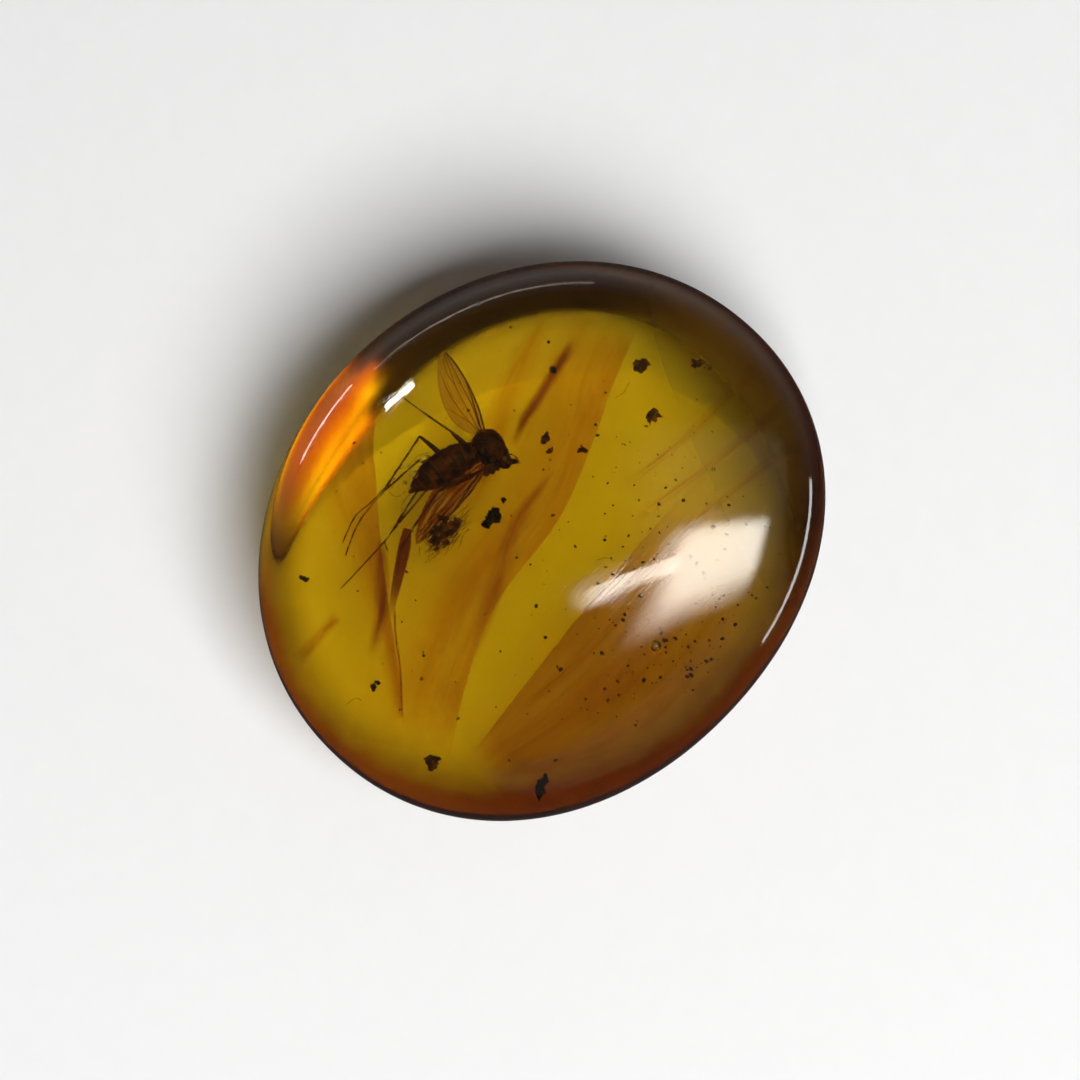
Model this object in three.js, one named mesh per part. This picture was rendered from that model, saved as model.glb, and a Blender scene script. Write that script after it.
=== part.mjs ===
// A polished amber pebble that holds a fossil fly: one solid, lying on its own flat base.
//
// Units are millimetres. +X runs along the long axis, +Z points up, and the origin is on the
// surface that the pebble lies on, under its middle.
//
// The pebble is turned round its upright axis, with an oval plan. Seen from the side it has four stretches:
// a low dome, a rounded edge at its widest level, a heel that slopes in below it, and a flat base.
// The fly and the other inclusions are sealed inside, so they have no solid of their own here.

import * as THREE from "three";

// Driving dimensions
const LENGTH = 22; // long axis of the plan
const WIDTH = 19; // short axis of the plan
const HEIGHT = 8; // flat base to the top of the dome
const GIRDLE_HEIGHT = 4.8; // level of the widest outline
const HEEL_INSET = 2.6; // how far the flat base stays inside the widest outline, on average

// Shape of the curves: 2 is an ellipse, more is squarer, less is nearer to a straight bevel
const PLAN_SQUARENESS = 2.06;
const DOME_SQUARENESS = 2.5;
const HEEL_SQUARENESS = 1.4;

// What makes the stone hand-shaped and not a perfect oval
const PLAN_UNEVENNESS = 0.006; // a slight three-sided pull in the plan, as a share of its radius
const HEEL_PINCH = 0.3; // the heel is this much steeper on two opposite sides, and slacker between
const HEEL_PINCH_SIDE = THREE.MathUtils.degToRad(-48); // plan direction of one steep side
const HEEL_LEAN = 1.2; // and this much slacker on one side than on the one across from it
const HEEL_LEAN_SIDE = THREE.MathUtils.degToRad(42); // plan direction of that slack side

// Fineness of the mesh
const SIDES = 96;
const DOME_STEPS = 16;
const HEEL_STEPS = 8;

// Distance from the middle to the widest outline, in the plan direction `angle`.
function planRadius(angle) {
  const across = Math.abs(Math.cos(angle)) / (LENGTH / 2);
  const along = Math.abs(Math.sin(angle)) / (WIDTH / 2);
  const sum = across ** PLAN_SQUARENESS + along ** PLAN_SQUARENESS;
  const oval = sum ** (-1 / PLAN_SQUARENESS);
  return oval * (1 - PLAN_UNEVENNESS * Math.sin(3 * angle));
}

// How far the edge of the flat base stays inside the widest outline, in that direction.
function heelInset(angle) {
  const pinch = HEEL_PINCH * Math.cos(2 * (angle - HEEL_PINCH_SIDE));
  const lean = HEEL_LEAN * Math.cos(angle - HEEL_LEAN_SIDE);
  return HEEL_INSET - pinch + lean;
}

// One ring of the surface: how far out it lies in a plan direction, and how high.
function domeRing(turn) {
  const share = Math.sin(turn) ** (2 / DOME_SQUARENESS);
  const lift = Math.cos(turn) ** (2 / DOME_SQUARENESS);
  return {
    radius: (angle) => planRadius(angle) * share,
    height: GIRDLE_HEIGHT + (HEIGHT - GIRDLE_HEIGHT) * lift,
  };
}

function heelRing(turn) {
  const share = Math.cos(turn) ** (2 / HEEL_SQUARENESS);
  const drop = Math.sin(turn) ** (2 / HEEL_SQUARENESS);
  return {
    radius: (angle) => planRadius(angle) - heelInset(angle) * (1 - share),
    height: GIRDLE_HEIGHT * (1 - drop),
  };
}

function baseEdgeRing() {
  return { radius: (angle) => planRadius(angle) - heelInset(angle), height: 0 };
}

// All rings from just under the top of the dome down to the edge of the flat base.
function profileRings() {
  const rings = [];
  const quarter = Math.PI / 2;
  for (let i = 1; i < DOME_STEPS; i += 1) rings.push(domeRing((quarter * i) / DOME_STEPS));
  for (let i = 0; i < HEEL_STEPS; i += 1) rings.push(heelRing((quarter * i) / HEEL_STEPS));
  rings.push(baseEdgeRing());
  return rings;
}

// The closed surface: a fan at the top, bands between the rings and a fan across the flat base.
function pebbleGeometry() {
  const rings = profileRings();
  const positions = [0, 0, HEIGHT];
  for (const ring of rings) {
    for (let k = 0; k < SIDES; k += 1) {
      const angle = (2 * Math.PI * k) / SIDES;
      const radius = ring.radius(angle);
      positions.push(radius * Math.cos(angle), radius * Math.sin(angle), ring.height);
    }
  }
  positions.push(0, 0, 0);
  const top = 0;
  const middleOfBase = 1 + rings.length * SIDES;
  const at = (ring, side) => 1 + ring * SIDES + (side % SIDES);
  const faces = [];
  for (let k = 0; k < SIDES; k += 1) {
    faces.push(top, at(0, k), at(0, k + 1));
    for (let ring = 0; ring + 1 < rings.length; ring += 1) {
      faces.push(at(ring, k), at(ring + 1, k), at(ring + 1, k + 1));
      faces.push(at(ring, k), at(ring + 1, k + 1), at(ring, k + 1));
    }
    faces.push(at(rings.length - 1, k), middleOfBase, at(rings.length - 1, k + 1));
  }
  const geometry = new THREE.BufferGeometry();
  geometry.setAttribute("position", new THREE.Float32BufferAttribute(positions, 3));
  geometry.setIndex(faces);
  geometry.computeVertexNormals();
  centreInPlan(geometry);
  return geometry;
}

// The uneven plan is a little off the origin, so its bounding box is moved back over it.
function centreInPlan(geometry) {
  geometry.computeBoundingBox();
  const middle = geometry.boundingBox.getCenter(new THREE.Vector3());
  geometry.translate(-middle.x, -middle.y, 0);
}

function amberMaterial() {
  return new THREE.MeshStandardMaterial({ color: 0x9e7a1c, roughness: 0.08, metalness: 0 });
}

function amberPebble() {
  const pebble = new THREE.Mesh(pebbleGeometry(), amberMaterial());
  pebble.name = "amber";
  return pebble;
}

const insectInAmber = new THREE.Group();
insectInAmber.add(amberPebble());

export default insectInAmber;
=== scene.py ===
"""Looks of the insect in amber: a polished pebble of clear amber lying on a pale table, with a
small long-legged fly, flow layers, plant scraps and bubbles sealed inside.

Sizes in the helpers below are millimetres. Places inside the stone are given as the viewer sees
them: across (to the viewer's right), away (from the viewer) and height over the table, from the
point under the middle of the stone. `spot` turns them into the frame's metres."""

import math
import random

import bmesh
import bpy
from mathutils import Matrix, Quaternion, Vector, noise


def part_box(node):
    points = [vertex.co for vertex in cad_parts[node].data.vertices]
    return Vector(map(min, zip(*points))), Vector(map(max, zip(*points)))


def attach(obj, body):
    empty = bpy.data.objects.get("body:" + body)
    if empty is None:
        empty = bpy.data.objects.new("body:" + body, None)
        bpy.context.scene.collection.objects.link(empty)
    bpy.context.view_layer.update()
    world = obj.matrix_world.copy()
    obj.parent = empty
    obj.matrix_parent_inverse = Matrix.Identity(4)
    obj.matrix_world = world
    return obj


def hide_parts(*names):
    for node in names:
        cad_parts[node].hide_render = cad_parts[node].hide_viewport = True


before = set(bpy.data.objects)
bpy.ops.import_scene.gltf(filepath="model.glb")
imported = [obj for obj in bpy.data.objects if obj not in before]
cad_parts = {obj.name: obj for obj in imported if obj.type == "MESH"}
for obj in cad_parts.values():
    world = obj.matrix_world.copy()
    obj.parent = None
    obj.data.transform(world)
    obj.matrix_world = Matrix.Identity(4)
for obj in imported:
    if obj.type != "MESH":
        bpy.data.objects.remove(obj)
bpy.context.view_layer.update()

MM = 0.001
STONE_LOW, STONE_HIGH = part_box("amber")
UNDER_MIDDLE = Vector(((STONE_LOW.x + STONE_HIGH.x) / 2, (STONE_LOW.y + STONE_HIGH.y) / 2, STONE_LOW.z))
LENGTH = (STONE_HIGH.x - STONE_LOW.x) / MM
WIDTH = (STONE_HIGH.y - STONE_LOW.y) / MM
HEIGHT = (STONE_HIGH.z - STONE_LOW.z) / MM

# Where the viewer stands: turned round the stone from its near side, and up from the table
VIEW_AZIMUTH = math.radians(-47.7)
VIEW_ELEVATION = math.radians(75)
VIEW_DISTANCE = 0.148
LENS_LENGTH = 135
ACROSS = Vector((math.cos(VIEW_AZIMUTH), math.sin(VIEW_AZIMUTH), 0))
AWAY = Vector((-math.sin(VIEW_AZIMUTH), math.cos(VIEW_AZIMUTH), 0))
UP = Vector((0, 0, 1))


def along(across, away, height=0.0):
    """A direction or offset, in millimetres, as the viewer sees it."""
    return ACROSS * across + AWAY * away + UP * height


def spot(across, away, height):
    """A place in the stone, in metres in the frame."""
    return UNDER_MIDDLE + along(across, away, height) * MM


# ---------------------------------------------------------------- mesh building


class Shape:
    """The points, faces and surface marks of a mesh while it is built. A mark is the point's
    (around or across, along) pair, from 0 to 1, which the materials read as its UV."""

    def __init__(self):
        self.points = []
        self.faces = []
        self.marks = []

    def add(self, points, faces, marks=None):
        first = len(self.points)
        self.points.extend(points)
        self.faces.extend(tuple(first + i for i in face) for face in faces)
        self.marks.extend(marks or [(0.0, 0.0)] * len(points))


def turn_faces_outwards(mesh):
    """Makes the faces of each closed part of a mesh look out of it."""
    work = bmesh.new()
    work.from_mesh(mesh)
    bmesh.ops.recalc_face_normals(work, faces=work.faces)
    work.to_mesh(mesh)
    work.free()


def make_piece(name, shape, material, smooth=True, has_hollows=False):
    """Turns a shape into an object of the part, riding on its one body. A piece that
    `has_hollows` keeps its faces as they were built, as those of a hollow look inwards."""
    mesh = bpy.data.meshes.new(name)
    mesh.from_pydata([tuple(p) for p in shape.points], [], shape.faces)
    layer = mesh.uv_layers.new(name="Marks")
    for loop in mesh.loops:
        layer.data[loop.index].uv = shape.marks[loop.vertex_index]
    mesh.polygons.foreach_set("use_smooth", [smooth] * len(mesh.polygons))
    mesh.materials.append(material)
    mesh.validate()
    if not has_hollows:
        turn_faces_outwards(mesh)
    mesh.update()
    piece = bpy.data.objects.new(name, mesh)
    bpy.context.scene.collection.objects.link(piece)
    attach(piece, "root")
    return piece


def smooth_path(values, steps):
    """Catmull-Rom through a list of vectors or numbers, with `steps` spans between neighbours."""
    out = []
    last = len(values) - 1
    for i in range(last):
        a = values[max(i - 1, 0)]
        b = values[i]
        c = values[i + 1]
        d = values[min(i + 2, last)]
        for k in range(steps):
            t = k / steps
            square = (a * 2 - b * 5 + c * 4 - d) * t**2
            cube = (b * 3 - a - c * 3 + d) * t**3
            out.append((b * 2 + (c - a) * t + square + cube) * 0.5)
    out.append(values[last])
    return out


def ring_frames(path, upright):
    """For each point of a path: its tangent's two crosswise directions, kept upright."""
    frames = []
    for i, point in enumerate(path):
        ahead = path[min(i + 1, len(path) - 1)]
        behind = path[max(i - 1, 0)]
        tangent = (ahead - behind).normalized()
        side = tangent.cross(upright)
        if side.length < 0.05:
            side = tangent.cross(ACROSS)
        side.normalize()
        frames.append((side, side.cross(tangent).normalized()))
    return frames


def add_tube(shape, path, widths, heights=None, sides=10, upright=UP, steps=5):
    """A closed tube in metres along `path`, with half-widths and half-heights in millimetres."""
    heights = heights or widths
    path = smooth_path(path, steps)
    widths = smooth_path([float(w) for w in widths], steps)
    heights = smooth_path([float(h) for h in heights], steps)
    frames = ring_frames(path, upright)
    points, marks, faces = [], [], []
    for i, (centre, (side, over)) in enumerate(zip(path, frames)):
        for k in range(sides):
            turn = 2 * math.pi * k / sides
            offset = side * (math.cos(turn) * widths[i]) + over * (math.sin(turn) * heights[i])
            points.append(centre + offset * MM)
            marks.append((k / sides, i / (len(path) - 1)))
    for i in range(len(path) - 1):
        for k in range(sides):
            a, b = i * sides + k, i * sides + (k + 1) % sides
            faces.append((a, b, b + sides, a + sides))
    start, end = len(points), len(points) + 1
    points += [path[0], path[-1]]
    marks += [(0.5, 0.0), (0.5, 1.0)]
    top = (len(path) - 1) * sides
    for k in range(sides):
        faces.append((start, (k + 1) % sides, k))
        faces.append((end, top + k, top + (k + 1) % sides))
    shape.add(points, faces, marks)


def add_bristle(shape, root, direction, length, thickness, bend):
    """A curved, tapering hair with three sides."""
    tip = root + (direction * length + bend * (0.35 * length)) * MM
    middle = root + (direction * (0.55 * length) + bend * (0.1 * length)) * MM
    widths = [thickness, thickness * 0.7, thickness * 0.15]
    add_tube(shape, [root, middle, tip], widths, sides=3, steps=1)


def add_ball(shape, centre, axes, radii, rings=18, sides=28, warp=None):
    """An ellipsoid in metres with its own axes and radii in millimetres. `warp` gives a factor on
    the radius from the unit direction in those axes."""
    points, marks, faces = [], [], []
    a, b, c = axes
    for i in range(1, rings):
        tilt = math.pi * i / rings
        for k in range(sides):
            turn = 2 * math.pi * k / sides
            unit = Vector((math.sin(tilt) * math.cos(turn), math.sin(tilt) * math.sin(turn), math.cos(tilt)))
            grow = warp(unit) if warp else 1.0
            offset = a * (unit.x * radii[0]) + b * (unit.y * radii[1]) + c * (unit.z * radii[2])
            points.append(centre + offset * (grow * MM))
            marks.append((k / sides, i / rings))
    for sign in (1, -1):
        unit = Vector((0, 0, sign))
        grow = warp(unit) if warp else 1.0
        points.append(centre + c * (sign * radii[2] * grow * MM))
        marks.append((0.5, 0.0 if sign > 0 else 1.0))
    top, bottom = len(points) - 2, len(points) - 1
    # The three axes may be right- or left-handed; the faces point out either way.
    flip = a.cross(b).dot(c) < 0
    for k in range(sides):
        n = (k + 1) % sides
        fan = [(top, k, n), (bottom, (rings - 2) * sides + n, (rings - 2) * sides + k)]
        band = [
            (i * sides + k, (i + 1) * sides + k, (i + 1) * sides + n, i * sides + n)
            for i in range(rings - 2)
        ]
        for face in fan + band:
            faces.append(face[::-1] if flip else face)
    shape.add(points, faces, marks)


def add_film(shape, grid, marks, lift):
    """A thin closed film over a grid of points: two skins, `lift` above and below it, joined
    round the rim."""
    rows, columns = len(grid) - 1, len(grid[0]) - 1
    points = [point + lift for row in grid for point in row]
    points += [point - lift for row in grid for point in row]
    size = len(points) // 2
    faces = []

    def at(level, i, k):
        return level * size + i * (columns + 1) + k

    for i in range(rows):
        for k in range(columns):
            faces.append((at(0, i, k), at(0, i + 1, k), at(0, i + 1, k + 1), at(0, i, k + 1)))
            faces.append((at(1, i, k), at(1, i, k + 1), at(1, i + 1, k + 1), at(1, i + 1, k)))
    rim = [(i, 0) for i in range(rows)] + [(rows, k) for k in range(columns)]
    rim += [(i, columns) for i in range(rows, 0, -1)] + [(0, k) for k in range(columns, 0, -1)]
    for (i, k), (j, m) in zip(rim, rim[1:] + rim[:1]):
        faces.append((at(0, i, k), at(1, i, k), at(1, j, m), at(0, j, m)))
    shape.add(points, faces, [mark for row in marks for mark in row] * 2)


# ---------------------------------------------------------------- material nodes


class Nodes:
    """Short names for building a node tree: a material's, a lamp's or the world's."""

    def __init__(self, owner):
        owner.use_nodes = True
        self.owner = owner
        self.tree = owner.node_tree
        self.shader = self.tree.nodes.get("Principled BSDF")
        self.output = self.tree.nodes.get("Material Output")

    def new(self, kind, **settings):
        node = self.tree.nodes.new(kind)
        for key, value in settings.items():
            setattr(node, key, value)
        return node

    def put(self, socket, value):
        if isinstance(value, bpy.types.NodeSocket):
            self.tree.links.new(value, socket)
        elif isinstance(value, tuple) and len(value) == 3 and socket.type == "RGBA":
            socket.default_value = (*value, 1)
        else:
            socket.default_value = value

    def math(self, operation, *values, clamp=False):
        node = self.new("ShaderNodeMath", operation=operation, use_clamp=clamp)
        for socket, value in zip(node.inputs, values):
            self.put(socket, value)
        return node.outputs[0]

    def place(self, kind="Object", stretch=(1, 1, 1), turn=0.0):
        coordinates = self.new("ShaderNodeTexCoord").outputs[kind]
        mapping = self.new("ShaderNodeMapping")
        self.put(mapping.inputs["Vector"], coordinates)
        mapping.inputs["Rotation"].default_value = (0, 0, turn)
        mapping.inputs["Scale"].default_value = stretch
        return mapping.outputs[0]

    def split(self, vector):
        node = self.new("ShaderNodeSeparateXYZ")
        self.put(node.inputs[0], vector)
        return node.outputs

    def noise(self, vector, scale, detail=4.0, rough=0.55, twist=0.0):
        node = self.new("ShaderNodeTexNoise")
        self.put(node.inputs["Vector"], vector)
        node.inputs["Scale"].default_value = scale
        node.inputs["Detail"].default_value = detail
        node.inputs["Roughness"].default_value = rough
        node.inputs["Distortion"].default_value = twist
        return node.outputs["Fac"]

    def step(self, value, low, high, out_low=0.0, out_high=1.0):
        node = self.new("ShaderNodeMapRange", interpolation_type="SMOOTHSTEP")
        self.put(node.inputs["Value"], value)
        node.inputs["From Min"].default_value = low
        node.inputs["From Max"].default_value = high
        node.inputs["To Min"].default_value = out_low
        node.inputs["To Max"].default_value = out_high
        return node.outputs["Result"]

    def mix(self, share, first, second):
        node = self.new("ShaderNodeMix", data_type="RGBA")
        self.put(node.inputs[0], share)
        self.put(node.inputs[6], first)
        self.put(node.inputs[7], second)
        return node.outputs[2]

    def bump(self, height, strength, depth_mm):
        node = self.new("ShaderNodeBump")
        self.put(node.inputs["Height"], height)
        node.inputs["Strength"].default_value = strength
        node.inputs["Distance"].default_value = depth_mm * MM
        return node.outputs[0]

    def set(self, **values):
        """Sets sockets of the Principled shader; Base_Color stands for its Base Color."""
        for key, value in values.items():
            self.put(self.shader.inputs[key.replace("_", " ")], value)


def new_material(name):
    return Nodes(bpy.data.materials.new(name))


# ---------------------------------------------------------------- the stone

# The driving dimensions of the carried solid, of which this is a finer copy
GIRDLE_HEIGHT = 0.6 * HEIGHT  # level of the widest outline
HEEL_INSET = 2.6  # how far the flat base stays inside that outline, on average
HEEL_PINCH = 0.3  # the heel is this much steeper on two opposite sides
HEEL_PINCH_SIDE = math.radians(-48)
HEEL_LEAN = 1.2  # and this much slacker on one side than across from it
HEEL_LEAN_SIDE = math.radians(42)
PLAN_SQUARENESS = 2.06
DOME_SQUARENESS = 2.5
HEEL_SQUARENESS = 1.4
PLAN_UNEVENNESS = 0.006
# The mesh and its polish
STONE_SIDES = 240
DOME_RINGS = 84
HEEL_RINGS = 44
BASE_RINGS = 4
RIPPLE_DEPTH = 0.035  # the hand-polished surface is this uneven
RIPPLE_WIDTH = 5.0


def plan_radius(angle):
    """Millimetres from the middle to the widest outline, in that direction of the plan."""
    across = abs(math.cos(angle)) / (LENGTH / 2)
    broad = abs(math.sin(angle)) / (WIDTH / 2)
    oval = (across**PLAN_SQUARENESS + broad**PLAN_SQUARENESS) ** (-1 / PLAN_SQUARENESS)
    return oval * (1 - PLAN_UNEVENNESS * math.sin(3 * angle))


def heel_inset(angle):
    """How far the edge of the flat base stays inside the widest outline there."""
    pinch = HEEL_PINCH * math.cos(2 * (angle - HEEL_PINCH_SIDE))
    lean = HEEL_LEAN * math.cos(angle - HEEL_LEAN_SIDE)
    return HEEL_INSET - pinch + lean


def dome_radius(share):
    return lambda angle: plan_radius(angle) * share


def heel_radius(share):
    return lambda angle: plan_radius(angle) - heel_inset(angle) * (1 - share)


def base_radius(share):
    return lambda angle: (plan_radius(angle) - heel_inset(angle)) * share


def stone_profile():
    """(radius from an angle, height) of each ring, from the dome's top down to the base."""
    rings = []
    quarter = math.pi / 2
    for i in range(1, DOME_RINGS):
        share = math.sin(quarter * i / DOME_RINGS) ** (2 / DOME_SQUARENESS)
        lift = math.cos(quarter * i / DOME_RINGS) ** (2 / DOME_SQUARENESS)
        height = GIRDLE_HEIGHT + (HEIGHT - GIRDLE_HEIGHT) * lift
        rings.append((dome_radius(share), height))
    for i in range(HEEL_RINGS + 1):
        turn = quarter * i / HEEL_RINGS
        share = max(math.cos(turn), 0) ** (2 / HEEL_SQUARENESS)
        drop = math.sin(turn) ** (2 / HEEL_SQUARENESS)
        rings.append((heel_radius(share), GIRDLE_HEIGHT * (1 - drop)))
    for i in range(1, BASE_RINGS):
        rings.append((base_radius(1 - i / BASE_RINGS), 0.0))
    return rings


def ripple(point, height):
    """How far the polished surface lies inside the ideal one there, in millimetres."""
    fade = min(max((height - GIRDLE_HEIGHT * 0.4) / GIRDLE_HEIGHT, 0), 1)
    broad = noise.noise(point / RIPPLE_WIDTH)
    fine = noise.noise(point / (0.45 * RIPPLE_WIDTH) + Vector((7, 3, 1)))
    return RIPPLE_DEPTH * fade * (0.5 + 0.35 * (broad + 0.4 * fine))


def add_stone_surface(shape):
    rings = stone_profile()
    outline_middle = (plan_radius(math.pi / 2) - plan_radius(-math.pi / 2)) / 2
    points = [Vector((0, 0, HEIGHT))]
    for radius, height in rings:
        for k in range(STONE_SIDES):
            angle = 2 * math.pi * k / STONE_SIDES
            x, y = radius(angle) * math.cos(angle), radius(angle) * math.sin(angle)
            points.append(Vector((x, y - outline_middle, height)))
    points.append(Vector((0, 0, 0)))
    sunk = []
    for p in points:
        inward = Vector((-p.x, -p.y, -(p.z - GIRDLE_HEIGHT) * 3))
        depth = ripple(p, p.z)
        sunk.append(UNDER_MIDDLE + (p + inward.normalized() * depth) * MM)
    faces = []
    last = len(points) - 1
    for k in range(STONE_SIDES):
        n = (k + 1) % STONE_SIDES
        faces.append((0, 1 + k, 1 + n))
        for i in range(len(rings) - 1):
            a = 1 + i * STONE_SIDES
            faces.append((a + k, a + STONE_SIDES + k, a + STONE_SIDES + n, a + n))
        a = 1 + (len(rings) - 1) * STONE_SIDES
        faces.append((a + k, last, a + n))
    shape.add(sunk, faces)


def add_bubble(shape, centre, radius, stretch=1.0, lean=0.0):
    """A gas bubble: a closed hollow whose faces look into it."""
    bubble = Shape()
    direction = along(math.cos(lean), math.sin(lean))
    crosswise = along(-math.sin(lean), math.cos(lean))
    radii = (radius * stretch, radius, radius * 0.85)
    add_ball(bubble, centre, (direction, crosswise, UP), radii, 14, 20)
    shape.add(bubble.points, [face[::-1] for face in bubble.faces], bubble.marks)


LARGE_BUBBLES = (
    # (across, away, height, radius, stretch)
    (4.06, -4.65, 6.75, 0.21, 1.0),
    (-4.42, 1.86, 5.0, 0.15, 1.15),
    (-4.05, 2.45, 4.9, 0.13, 1.6),
    (-4.75, 1.62, 4.7, 0.07, 1.0),
    (-3.3, 1.35, 4.9, 0.05, 1.0),
    (1.9, -3.4, 5.2, 0.06, 1.0),
    (6.1, 2.2, 4.4, 0.07, 1.0),
)


def add_bubbles(shape):
    for across, away, height, radius, stretch in LARGE_BUBBLES:
        add_bubble(shape, spot(across, away, height), radius, stretch, 0.6)
    draw = random.Random(11)
    for _ in range(26):
        turn = draw.uniform(0, 2 * math.pi)
        reach = 7.2 * math.sqrt(draw.random())
        height = draw.uniform(2.0, 6.0)
        centre = spot(reach * math.cos(turn), reach * math.sin(turn), height)
        add_bubble(shape, centre, draw.uniform(0.02, 0.045))


SKIN_START = 0.8  # share of the way out where the reddish skin begins
SKIN_FULL = 0.98
SKIN_COLOUR = (0.16, 0.022, 0.002)
SKIN_WORN = along(-0.88, 0.47)  # the side where the skin is worn thin
PAINTED_SHADE_SIDE = along(0.91, 0.42)  # and the side where the heel is painted nearly black, as painted shade for the dark rim band there
PAINTED_SHADE_COLOUR = (0.03, 0.028, 0.01)
HEEL_FROST = 0.15  # roughness of the less polished heel
SHADE_SIDE_FROST = 0.5  # and how much rougher the heel is on that side of painted shade
ABSORBED = (33.0, 60.0, 420.0)  # absorption of red, green and blue light, per metre


def scratches(n, turn, fineness):
    """Long fine lines in one direction, where a stretched noise crosses its middle value."""
    lines = n.noise(n.place("Object", (fineness * 0.02, fineness, fineness * 0.3), turn), 1.0, 2.0)
    near = n.math("ABSOLUTE", n.math("SUBTRACT", lines, 0.5))
    return n.step(near, 0.0, 0.03)


def amber_material():
    """Clear golden amber: plain transmission, IOR and absorption, with a thin reddish oxide skin where
    the old surface is left round the stone's edge, laid on thicker under the heel as painted shade,
    a less polished heel painted nearly black on one side as painted shade, and fine scratches."""
    n = new_material("amber")
    x, y, z = n.split(n.place("Object", (2 / (LENGTH * MM), 2 / (WIDTH * MM), 1 / MM)))
    out = n.math("SQRT", n.math("ADD", n.math("MULTIPLY", x, x), n.math("MULTIPLY", y, y)))
    patchy = n.noise(n.place("Object"), 260.0, 3.0)
    edge = n.math("ADD", out, n.math("MULTIPLY", n.math("SUBTRACT", patchy, 0.5), 0.08))
    worn = n.math("ADD", n.math("MULTIPLY", x, SKIN_WORN.x), n.math("MULTIPLY", y, SKIN_WORN.y))
    # The reddish skin round the edge is the stone's own oxide. Over the heel's underside it is laid on
    # thicker as painted shade, which darkens the rim band.
    heel = n.step(z, GIRDLE_HEIGHT, 0.6 * GIRDLE_HEIGHT)
    heel_shade = n.math("MULTIPLY", heel, n.step(edge, 0.72, 0.84))
    skin = n.math("MAXIMUM", n.step(edge, SKIN_START, SKIN_FULL), n.math("MULTIPLY", heel_shade, 0.7))
    skin = n.math("MULTIPLY", skin, n.step(worn, 0.75, 1.0, 1.0, 0.5))
    # Painted shade: one side of the heel is coated nearly black, which darkens the rim band seen through it;
    # that side is also rougher.
    painted_shade = n.math("ADD", n.math("MULTIPLY", x, PAINTED_SHADE_SIDE.x), n.math("MULTIPLY", y, PAINTED_SHADE_SIDE.y))
    painted_shade = n.math("MULTIPLY", n.step(painted_shade, 0.45, 0.9), n.step(z, GIRDLE_HEIGHT, 0.8 * GIRDLE_HEIGHT))
    colour = n.mix(skin, (1.0, 1.0, 1.0), SKIN_COLOUR)
    colour = n.mix(n.math("MULTIPLY", painted_shade, 0.9), colour, PAINTED_SHADE_COLOUR)
    frost = n.step(z, 0.2, GIRDLE_HEIGHT, HEEL_FROST, 0.0)
    lines = n.math("MULTIPLY", scratches(n, 0.12, 5000.0), scratches(n, -0.35, 7000.0))
    n.set(
        Base_Color=colour,
        Transmission_Weight=1.0,
        IOR=1.54,
        Specular_IOR_Level=0.35,
        Roughness=n.math("ADD", frost, n.math("MULTIPLY", painted_shade, SHADE_SIDE_FROST)),
        Normal=n.bump(lines, 0.05, 0.004),
    )
    densest = max(ABSORBED) / 0.98
    volume = n.new("ShaderNodeVolumeAbsorption")
    volume.inputs["Color"].default_value = (*(1 - a / densest for a in ABSORBED), 1)
    volume.inputs["Density"].default_value = densest
    n.put(n.output.inputs["Volume"], volume.outputs[0])
    return n.owner


def make_stone():
    shape = Shape()
    add_stone_surface(shape)
    add_bubbles(shape)
    stone = make_piece("amber_pebble", shape, amber_material(), has_hollows=True)
    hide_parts("amber")


# ---------------------------------------------------------------- the fly

# The fly lies on its side. Its own directions, as the viewer sees them:
FORWARD = along(0.86, 0.51, 0.0).normalized()
DORSAL = along(-0.49, 0.82, 0.28).normalized()
LATERAL = FORWARD.cross(DORSAL).normalized()
FLY_AXES = (FORWARD, DORSAL, LATERAL)
THORAX = (-1.8, 2.95, 4.5)


def on_fly(forward, dorsal, lateral=0.0):
    """A place on the fly, in millimetres from the middle of its thorax."""
    return spot(*THORAX) + (FORWARD * forward + DORSAL * dorsal + LATERAL * lateral) * MM


def cuticle_material(name, dark, light, banded=False):
    """Hard brown insect skin: mottled, finely pitted, a little glossy. `banded` draws the paler
    hind rims of the abdomen's rings."""
    n = new_material(name)
    mottle = n.step(n.noise(n.place("Object"), 2600.0, 5.0), 0.38, 0.72)
    colour = n.mix(mottle, dark, light)
    if banded:
        lengthwise = n.split(n.place("UV"))[1]
        ring = n.math("FRACT", n.math("MULTIPLY", lengthwise, ABDOMEN_RINGS))
        rim = n.math("MULTIPLY", n.step(ring, 0.72, 0.86), n.step(ring, 0.94, 1.0, 1.0, 0.0))
        colour = n.mix(n.math("MULTIPLY", rim, 0.2), colour, (0.2, 0.05, 0.02))
    pits = n.noise(n.place("Object"), 14000.0, 2.0)
    n.set(
        Base_Color=colour,
        Roughness=n.step(mottle, 0.0, 1.0, 0.4, 0.6),
        Specular_IOR_Level=0.12,
        Normal=n.bump(pits, 0.6, 0.01),
    )
    return n.owner


def eye_material():
    """A compound eye: dark red-brown with a fine honeycomb of facets."""
    n = new_material("fly_eye")
    cells = n.new("ShaderNodeTexVoronoi")
    n.put(cells.inputs["Vector"], n.place("Object"))
    cells.inputs["Scale"].default_value = 42000.0
    cells.inputs["Randomness"].default_value = 0.15
    n.set(
        Base_Color=n.mix(cells.outputs["Distance"], (0.05, 0.012, 0.008), (0.012, 0.004, 0.003)),
        Roughness=0.25,
        Normal=n.bump(n.math("SUBTRACT", 1.0, cells.outputs["Distance"]), 0.7, 0.008),
    )
    return n.owner


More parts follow.
